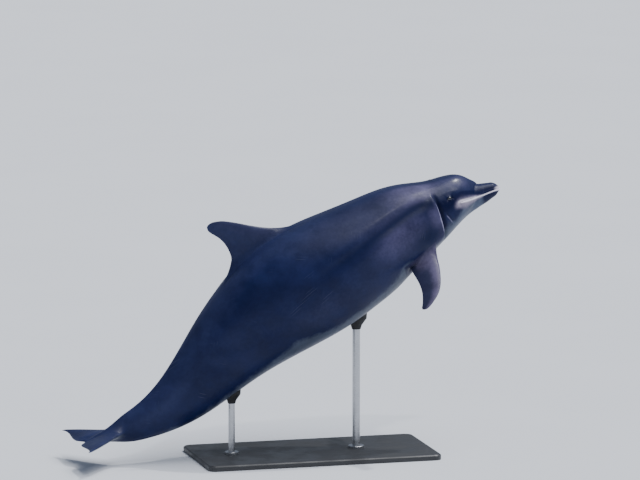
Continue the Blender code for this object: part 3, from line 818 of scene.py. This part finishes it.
def new_material(name, values):
    """A material, its tree, its Principled shader with its even values set, and the place on the object."""
    made = bpy.data.materials.new(name)
    made.use_nodes = True
    tree = made.node_tree
    shader = tree.nodes["Principled BSDF"]
    for key, value in values.items():
        shader.inputs[key].default_value = value
    return made, tree, shader, add_node(tree, "TexCoord").outputs["Object"]


def roughen(tree, shader, height, strength, depth):
    """Gives a shader the fine relief of a height, 0 to 1, that is depth metres deep."""
    relief = add_node(tree, "Bump", {"Height": height, "Strength": strength, "Distance": depth})
    tree.links.new(relief.outputs[0], shader.inputs["Normal"])


def marking(tree, name):
    """A value stored on the mesh."""
    return add_node(tree, "Attribute", attribute_name=name).outputs["Fac"]


skin_finish, tree, shader, here = new_material(
    "wet_skin", {"Specular IOR Level": 0.12, "Coat Roughness": 0.24, "Coat IOR": 1.33})
drawn_out = mapped(tree, here, Rotation=(0, math.radians(32), 0), Scale=(0.42, 1, 1))
broad = cloudy(tree, drawn_out, 4.5, 2.0)
middling = cloudy(tree, here, 11.0, 3.0)
fine = cloudy(tree, here, 60.0, 3.0)
mottling = maths(tree, "MULTIPLY_ADD", middling, 0.45, maths(tree, "MULTIPLY", broad, 0.35))
mottling = maths(tree, "MULTIPLY_ADD", fine, 0.20, mottling)
wander = maths(tree, "MULTIPLY_ADD", middling, 0.030, -0.015)
edge = maths(tree, "ADD", wander, maths(tree, "MULTIPLY_ADD", fine, 0.006, -0.003))
cape_share = smooth_between(tree, maths(tree, "ADD", marking(tree, "cape"), wander), -0.05, 0.05)
belly_share = smooth_between(tree, maths(tree, "ADD", marking(tree, "belly"), edge), -0.016, 0.030)
colour = blend(tree, cape_share, FLANK, CAPE)
colour = blend(tree, belly_share, colour, blend(tree, marking(tree, "jaw"), BELLY, JAW))
for name, tone, patchiness, low, high in LAYERS:
    soft = maths(tree, "MULTIPLY", marking(tree, name), about_one(tree, mottling, patchiness))
    colour = blend(tree, smooth_between(tree, soft, low, high), colour, tone)
shading = maths(tree, "MULTIPLY", about_one(tree, broad, 0.34), about_one(tree, middling, 0.22))
shading = maths(tree, "MULTIPLY", shading, about_one(tree, fine, 0.10))
colour = blend(tree, 1.0, colour, shading, "MULTIPLY")
raked = [use_group(tree, rakes, Vector=here, Turn=[math.radians(angle) for angle in turn], Width=0.05)
         for turn in RAKE_TURNS]
marks = maths(tree, "MAXIMUM", maths(tree, "MAXIMUM", *raked[:2]), raked[2])
marks = maths(tree, "MULTIPLY", marks, RAKE_STRENGTH)
tree.links.new(blend(tree, marks, colour, SCUFF), shader.inputs["Base Color"])
tree.links.new(smooth_between(tree, middling, 0.0, 1.0, 0.42, 0.56), shader.inputs["Roughness"])
film = maths(tree, "MULTIPLY_ADD", fine, 0.35, maths(tree, "MULTIPLY", broad, 0.65))
film = smooth_between(tree, film, 0.15, 0.85, 0.10, 0.36)
tree.links.new(maths(tree, "MULTIPLY_ADD", marking(tree, "wet"), 0.70, film), shader.inputs["Coat Weight"])
pores = noise(tree, here, 420.0, 2.0)
height = maths(tree, "MULTIPLY_ADD", pores, 0.35, maths(tree, "MULTIPLY", fine, 0.8))
height = maths(tree, "MULTIPLY_ADD", marks, -0.8, height)
roughen(tree, shader, height, 0.25, 0.0012)
body.data.materials.append(skin_finish)

# ==================================================
# Eyes. Almost black balls, glossy all over, each with a slightly raised cornea in front of its iris and
# pupil. They are set under the lids.

CORNEA_HALF_ANGLE = 36                   # degrees from the front of the ball
CORNEA_RISE = 0.0004
IRIS_HALF_ANGLE, PUPIL_HALF_ANGLE = 33, 15
EYE_TURNS, EYE_RINGS = 64, 40
PUPIL, EDGE = (0.001, 0.001, 0.003), (0.004, 0.003, 0.004)
IRIS = (0.002, 0.003, 0.007), (0.012, 0.011, 0.018)


def eyeball(centre, outward, ahead):
    """Points of a ball of radius R + rise (1 - (a / cornea)^2)^2 inside the cornea's angle a, its faces, and
    each point's angle from the front in degrees."""
    up = np.cross(outward, ahead)
    angle = np.linspace(0, 180, EYE_RINGS + 1)[1:-1]
    turn = np.arange(EYE_TURNS) * 2 * math.pi / EYE_TURNS
    reach = EYE_RADIUS + CORNEA_RISE * np.clip(1 - (angle / CORNEA_HALF_ANGLE) ** 2, 0, 1) ** 2
    a, b = np.meshgrid(np.radians(angle), turn, indexing="ij")
    aim = np.stack([np.cos(a), np.sin(a) * np.cos(b), np.sin(a) * np.sin(b)], -1) @ (outward, ahead, up)
    ring = reach[:, None, None] * aim
    front, rear = outward * (EYE_RADIUS + CORNEA_RISE), -outward * EYE_RADIUS
    points = centre + np.concatenate([ring.reshape(-1, 3), [front], [rear]])
    index = np.arange(len(angle) * EYE_TURNS).reshape(len(angle), EYE_TURNS)
    on = np.roll(index, -1, 1)
    quads = np.stack([index[:-1], index[1:], on[1:], on[:-1]], -1).reshape(-1, 4).tolist()
    first = np.stack([np.full(EYE_TURNS, len(points) - 2), index[0], on[0]], -1).tolist()
    final = np.stack([np.full(EYE_TURNS, len(points) - 1), on[-1], index[-1]], -1).tolist()
    return points, quads + first + final, np.concatenate([np.repeat(angle, EYE_TURNS), [0.0, 180.0]])


eye_finish, tree, shader, here = new_material(
    "eye", {"Roughness": 0.10, "Specular IOR Level": 0.15, "Coat Weight": 1.0, "Coat Roughness": 0.015,
            "Coat IOR": 2.1})
gaze = marking(tree, "gaze")
iris = blend(tree, cloudy(tree, here, 900.0, 3.0), *IRIS)
colour = blend(tree, smooth_between(tree, gaze, PUPIL_HALF_ANGLE - 2, PUPIL_HALF_ANGLE + 2), PUPIL, iris)
colour = blend(tree, smooth_between(tree, gaze, IRIS_HALF_ANGLE - 3, IRIS_HALF_ANGLE + 3), colour, EDGE)
tree.links.new(colour, shader.inputs["Base Color"])

for side, sign in (("left", 1), ("right", -1)):
    girth = sign * EYE_GIRTH
    eye_point, outward = skin(EYE_STATION, girth)
    forward = skin(EYE_STATION - 0.002, girth)[0] - eye_point
    forward -= outward * (forward @ outward)
    forward /= np.linalg.norm(forward)
    centre = smooth_skin(EYE_STATION, girth) - outward * EYE_DEPTH
    ball_points, ball_faces, ball_gaze = eyeball(centre, outward, forward)
    eye = smooth_piece("eyeball_" + side, ball_points, ball_faces)
    store(eye.data, "gaze", ball_gaze)
    eye.data.materials.append(eye_finish)
    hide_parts("eye_" + side)
    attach(eye, "root")

# ==================================================
# Stand. A painted board with two steel rods that rise into rubber pads under chest and rump. Each rod is
# held at its foot by a steel collar.

PAINT = (0.030, 0.031, 0.034), (0.040, 0.041, 0.045)
DUST, BARED = (0.075, 0.078, 0.082), (0.14, 0.14, 0.15)
STEEL, TARNISH = ((0.42, 0.43, 0.45), (0.62, 0.63, 0.65)), (0.33, 0.33, 0.34)
RUBBER = (0.012, 0.012, 0.013), (0.030, 0.030, 0.032)


def finish_nodes(material, *names):
    """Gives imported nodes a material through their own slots."""
    for name in names:
        for slot in bpy.data.objects[name].material_slots:
            slot.material = material


board_finish, tree, shader, here = new_material("board_paint", {"Specular IOR Level": 0.45})
grain = cloudy(tree, mapped(tree, here, Scale=(1.5, 22, 22)), 4.0, 5.0)
dust = cloudy(tree, here, 7.0, 4.0)
paint = blend(tree, grain, *PAINT)
paint = blend(tree, maths(tree, "MULTIPLY", dust, 0.25), paint, DUST)
scuffs = use_group(tree, scratches, Vector=here, Scale=9.0, Width=0.002)
paint = blend(tree, maths(tree, "MULTIPLY", scuffs, 0.35), paint, BARED)
tree.links.new(paint, shader.inputs["Base Color"])
tree.links.new(smooth_between(tree, dust, 0, 1, 0.36, 0.58), shader.inputs["Roughness"])
stipple = noise(tree, here, 700.0, 2.0)
height = maths(tree, "MULTIPLY_ADD", grain, 0.6, maths(tree, "MULTIPLY", stipple, 0.4))
roughen(tree, shader, height, 0.3, 0.0004)
finish_nodes(board_finish, "stand_base")

steel_finish, tree, shader, here = new_material("brushed_steel", {"Metallic": 1.0})
brushing = noise(tree, mapped(tree, here, Scale=(40, 40, 900)), 1.0, 3.0)
tarnished = maths(tree, "MULTIPLY", cloudy(tree, here, 12.0, 4.0), 0.22)
steel = blend(tree, tarnished, blend(tree, brushing, *STEEL), TARNISH)
tree.links.new(steel, shader.inputs["Base Color"])
tree.links.new(smooth_between(tree, brushing, 0.3, 0.7, 0.24, 0.38), shader.inputs["Roughness"])
roughen(tree, shader, brushing, 0.25, 0.0002)
finish_nodes(steel_finish, "stand_rod_front", "stand_rod_rear", "stand_collar_front", "stand_collar_rear")

pad_finish, tree, shader, here = new_material("pad_rubber", {"Specular IOR Level": 0.35})
bloom = cloudy(tree, here, 18.0, 5.0)
tree.links.new(blend(tree, bloom, *RUBBER), shader.inputs["Base Color"])
tree.links.new(smooth_between(tree, bloom, 0, 1, 0.55, 0.78), shader.inputs["Roughness"])
roughen(tree, shader, noise(tree, here, 800.0, 3.0), 0.35, 0.0004)
finish_nodes(pad_finish, "stand_pad_front", "stand_pad_rear")

# ==================================================
# Floor, light and camera. A pale matt floor under an even sky, one broad soft light almost overhead, and
# two small hard ones: for the shine on the wet forehead and for the glint in the eye.

FLOOR_SIZE = 500
FLOOR = (0.715, 0.74, 0.785), (0.73, 0.755, 0.80)
SKY, SKY_STRENGTH = (0.66, 0.76, 0.94, 1), 0.34
BACKDROP, BACKDROP_STRENGTH = (0.90, 0.94, 1.0, 1), 1.17

bpy.ops.mesh.primitive_plane_add(size=FLOOR_SIZE, location=(0, 0, 0))
floor = bpy.context.object
floor.name = "floor"
floor_finish, tree, shader, here = new_material(
    "floor_paint", {"Roughness": 0.75, "Specular IOR Level": 0.25})
tree.links.new(blend(tree, cloudy(tree, here, 0.8, 3.0), *FLOOR), shader.inputs["Base Color"])
floor.data.materials.append(floor_finish)

world = bpy.data.worlds.new("studio")
bpy.context.scene.world = world
world.use_nodes = True
tree = world.node_tree
sky = tree.nodes["Background"]
sky.inputs["Color"].default_value = SKY
sky.inputs["Strength"].default_value = SKY_STRENGTH
# Behind the floor's far edge is a backdrop of the floor's tone, which gives no light.
backdrop = add_node(tree, "Background", {"Color": BACKDROP, "Strength": BACKDROP_STRENGTH})
seen = add_node(tree, "MixShader", {0: add_node(tree, "LightPath").outputs["Is Camera Ray"],
                                    1: sky.outputs[0], 2: backdrop.outputs[0]})
tree.links.new(seen.outputs[0], tree.nodes["World Output"].inputs["Surface"])

# Towards each light from the animal: ahead, to its left, up; then strength, spread in degrees and colour.
LIGHTS = {"softbox": ((0.35, -0.17, 0.92), 2.7, 45, (0.97, 0.97, 1.0)),
          "forehead_shine": ((0.39, 0.10, 0.91), 1.2, 2, (1.0, 1.0, 1.0)),
          "eye_glint": ((0.10, -0.55, 0.83), 0.50, 3, (1.0, 1.0, 1.0))}
for name, (towards, strength, spread, tint) in LIGHTS.items():
    light = bpy.data.lights.new(name, "SUN")
    light.energy = strength
    light.angle = math.radians(spread)
    light.color = tint
    ahead, left, high = np.array(towards) / np.linalg.norm(towards)
    put_in_scene(name, light).rotation_euler = (-math.asin(left), math.atan2(ahead, high), 0)

# The camera stands well back on the right of the animal and a little above it.
VIEW_AZIMUTH, VIEW_ELEVATION = math.radians(-15), math.radians(9)
LENS, SENSOR = 320.0, 36.0
FRAME_WIDTH = 3.491                      # metres across the picture where the animal is
SNOUT_RIGHT, SNOUT_ABOVE = 0.9796, 0.2836        # of the picture's middle, there
back = np.array((math.sin(VIEW_AZIMUTH) * math.cos(VIEW_ELEVATION),
                 -math.cos(VIEW_AZIMUTH) * math.cos(VIEW_ELEVATION), math.sin(VIEW_ELEVATION)))
right = np.array((math.cos(VIEW_AZIMUTH), math.sin(VIEW_AZIMUTH), 0))
above = np.cross(back, right)
middle = np.array((SNOUT[0], 0, SNOUT[1])) - SNOUT_RIGHT * right - SNOUT_ABOVE * above
camera = put_in_scene("camera", bpy.data.cameras.new("camera"))
camera.data.lens = LENS
camera.data.sensor_width = SENSOR
camera.data.clip_end = FLOOR_SIZE + 100
camera.location = middle + back * (FRAME_WIDTH * LENS / SENSOR)
camera.rotation_euler = (math.pi / 2 - VIEW_ELEVATION, 0, VIEW_AZIMUTH)
bpy.context.scene.camera = camera
